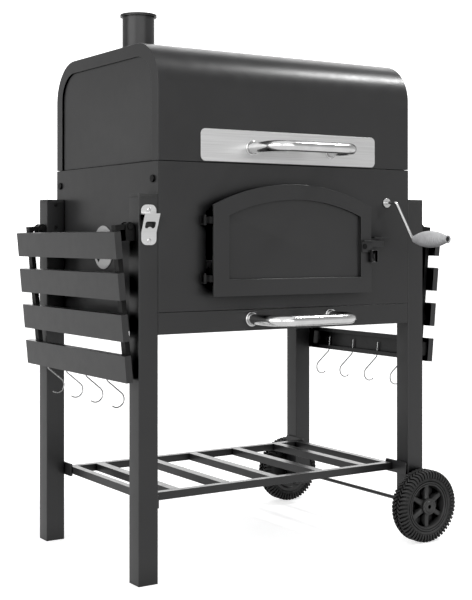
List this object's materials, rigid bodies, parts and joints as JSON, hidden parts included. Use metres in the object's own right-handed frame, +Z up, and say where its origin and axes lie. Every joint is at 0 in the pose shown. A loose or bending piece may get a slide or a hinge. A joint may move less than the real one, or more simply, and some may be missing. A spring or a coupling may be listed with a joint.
{
  "type": "charcoal barbecue trolley",
  "caption": "Box-shaped charcoal barbecue and smoker on a wheeled trolley, with a chimney lid, arched charcoal door, ash drawer, crank-lifted tray and fold-down slatted side tables.",
  "frame": {"origin": "on the floor, at the centre of the whole outline seen from above with the tables folded down and the crank grip at rest", "axes": "+Z up; -Y the front, with the door, drawer and crank; +X to the wheeled end"},
  "size_m": [0.7855, 0.629, 1.0845],
  "materials": {
    "black_powder_coat": "satin charcoal-black powder coat on steel sheet and tube",
    "blackened_steel": "matt black steel of the table arms, brackets, hinges and bolts",
    "galvanised_steel": "dull galvanised steel inside the firebox",
    "brushed_stainless": "brushed stainless steel sheet",
    "polished_steel": "polished steel",
    "chromed_wire": "chromed wire",
    "cast_iron": "rough dark cast iron",
    "grey_plastic": "light grey moulded plastic",
    "black_plastic": "black moulded plastic",
    "black_rubber": "matte black rubber with a ribbed tread"
  },
  "bodies": {
    "trolley": {"leg_front_left": "black_powder_coat", "leg_rear_left": "black_powder_coat", "leg_front_right": "black_powder_coat", "leg_rear_right": "black_powder_coat", "leg_caps": "black_plastic", "axle_rod": "black_powder_coat", "shelf_rails": "black_powder_coat", "shelf_slats": "black_powder_coat", "shelf_brackets": "black_powder_coat", "firebox_left_panel": "black_powder_coat", "firebox_right_panel": "black_powder_coat", "firebox_rear_panel": "black_powder_coat", "firebox_front_panel": "black_powder_coat", "support_angles": "galvanised_steel", "frame_bolts": "blackened_steel", "table_brackets": "blackened_steel", "table_pivot_bolts": "blackened_steel", "door_hinge_pins": "blackened_steel", "latch_keeper": "black_powder_coat", "crank_bearings": "polished_steel", "cable_guides": "galvanised_steel", "lift_cables": "galvanised_steel", "lid_hinge_lower": "black_powder_coat", "bottle_opener": "brushed_stainless", "opener_screws": "polished_steel"},
    "lid": {"lid_wrap": "black_powder_coat", "lid_side_left": "black_powder_coat", "lid_side_right": "black_powder_coat", "lid_plate": "brushed_stainless", "lid_handle": "polished_steel", "lid_handle_flanges": "polished_steel", "chimney_tube": "black_powder_coat", "lid_hinge_upper": "black_powder_coat"},
    "chimney_cap": {"chimney_cap": "black_powder_coat"},
    "door": {"door_panel": "black_powder_coat", "door_hinge_barrels": "blackened_steel", "latch_pin": "blackened_steel"},
    "latch": {"door_latch": "black_powder_coat"},
    "drawer": {"ash_drawer_tray": "galvanised_steel", "ash_drawer_front": "black_powder_coat", "drawer_handle": "polished_steel", "drawer_handle_flanges": "polished_steel"},
    "charcoal_tray": {"charcoal_tray": "galvanised_steel", "charcoal_grate": "cast_iron"},
    "crank": {"crank_rod": "polished_steel"},
    "crank_grip": {"crank_grip": "grey_plastic"},
    "grate_left": {"cooking_grate_left": "chromed_wire"},
    "grate_right": {"cooking_grate_right": "chromed_wire"},
    "table_left": {"table_left_slats": "black_powder_coat", "table_left_arms": "blackened_steel", "table_left_hooks": "polished_steel"},
    "table_right": {"table_right_slats": "black_powder_coat", "table_right_arms": "blackened_steel", "table_right_hooks": "polished_steel"},
    "vent_left": {"vent_disc_left": "brushed_stainless"},
    "vent_right": {"vent_disc_right": "brushed_stainless"},
    "wheel_front": {"wheel_front_tyre": "black_rubber", "wheel_front_rim": "black_plastic"},
    "wheel_rear": {"wheel_rear_tyre": "black_rubber", "wheel_rear_rim": "black_plastic"}
  },
  "joints": [
    {"name": "lid_hinge", "type": "hinge", "parent": "trolley", "child": "lid", "pos_m": [0, 0.2835, 0.775], "axis": [-1, 0, 0], "range_deg": [0, 95]},
    {"name": "chimney_cap_swivel", "type": "hinge", "parent": "lid", "child": "chimney_cap", "pos_m": [-0.1905, 0.0575, 1.08], "axis": [0, 0, 1], "range_deg": [0, 120]},
    {"name": "door_hinge", "type": "hinge", "parent": "trolley", "child": "door", "pos_m": [-0.206, -0.174, 0.6115], "axis": [0, 0, -1], "range_deg": [0, 130]},
    {"name": "latch_turn", "type": "hinge", "parent": "door", "child": "latch", "pos_m": [0.158, -0.1925, 0.6155], "axis": [0, 1, 0], "range_deg": [0, 70]},
    {"name": "drawer_slide", "type": "slide", "parent": "trolley", "child": "drawer", "axis": [0, -1, 0], "range_m": [0, 0.3]},
    {"name": "tray_lift", "type": "slide", "parent": "trolley", "child": "charcoal_tray", "axis": [0, 0, 1], "range_m": [0, 0.08], "deforming": ["lift_cables"]},
    {"name": "crank_turn", "type": "hinge", "parent": "trolley", "child": "crank", "pos_m": [0.2396, 0.0575, 0.705], "axis": [0, -1, 0], "range_deg": [0, 510]},
    {"name": "crank_grip_spin", "type": "hinge", "parent": "crank", "child": "crank_grip", "pos_m": [0.277, -0.2555, 0.63], "axis": [0, -1, 0], "continuous": true},
    {"name": "grate_left_lift", "type": "slide", "parent": "trolley", "child": "grate_left", "axis": [0, 0, 1], "range_m": [0, 0.12]},
    {"name": "grate_right_lift", "type": "slide", "parent": "trolley", "child": "grate_right", "axis": [0, 0, 1], "range_m": [0, 0.12]},
    {"name": "table_left_fold", "type": "hinge", "parent": "trolley", "child": "table_left", "pos_m": [-0.35, 0.0575, 0.653], "axis": [0, 1, 0], "range_deg": [0, 95.3]},
    {"name": "table_right_fold", "type": "hinge", "parent": "trolley", "child": "table_right", "pos_m": [0.35, 0.0575, 0.653], "axis": [0, -1, 0], "range_deg": [0, 95.3]},
    {"name": "vent_left_turn", "type": "hinge", "parent": "trolley", "child": "vent_left", "pos_m": [-0.3, 0.0575, 0.614], "axis": [-1, 0, 0], "range_deg": [0, 90]},
    {"name": "vent_right_turn", "type": "hinge", "parent": "trolley", "child": "vent_right", "pos_m": [0.3, 0.0575, 0.614], "axis": [1, 0, 0], "range_deg": [0, 90]},
    {"name": "wheel_front_spin", "type": "hinge", "parent": "trolley", "child": "wheel_front", "pos_m": [0.32, -0.1875, 0.075], "axis": [0, 1, 0], "continuous": true},
    {"name": "wheel_rear_spin", "type": "hinge", "parent": "trolley", "child": "wheel_rear", "pos_m": [0.32, 0.3025, 0.075], "axis": [0, 1, 0], "continuous": true}
  ],
  "couplings": [
    {"joint": "crank_turn", "follows": "tray_lift", "rad_per_m": 111.11}
  ]
}
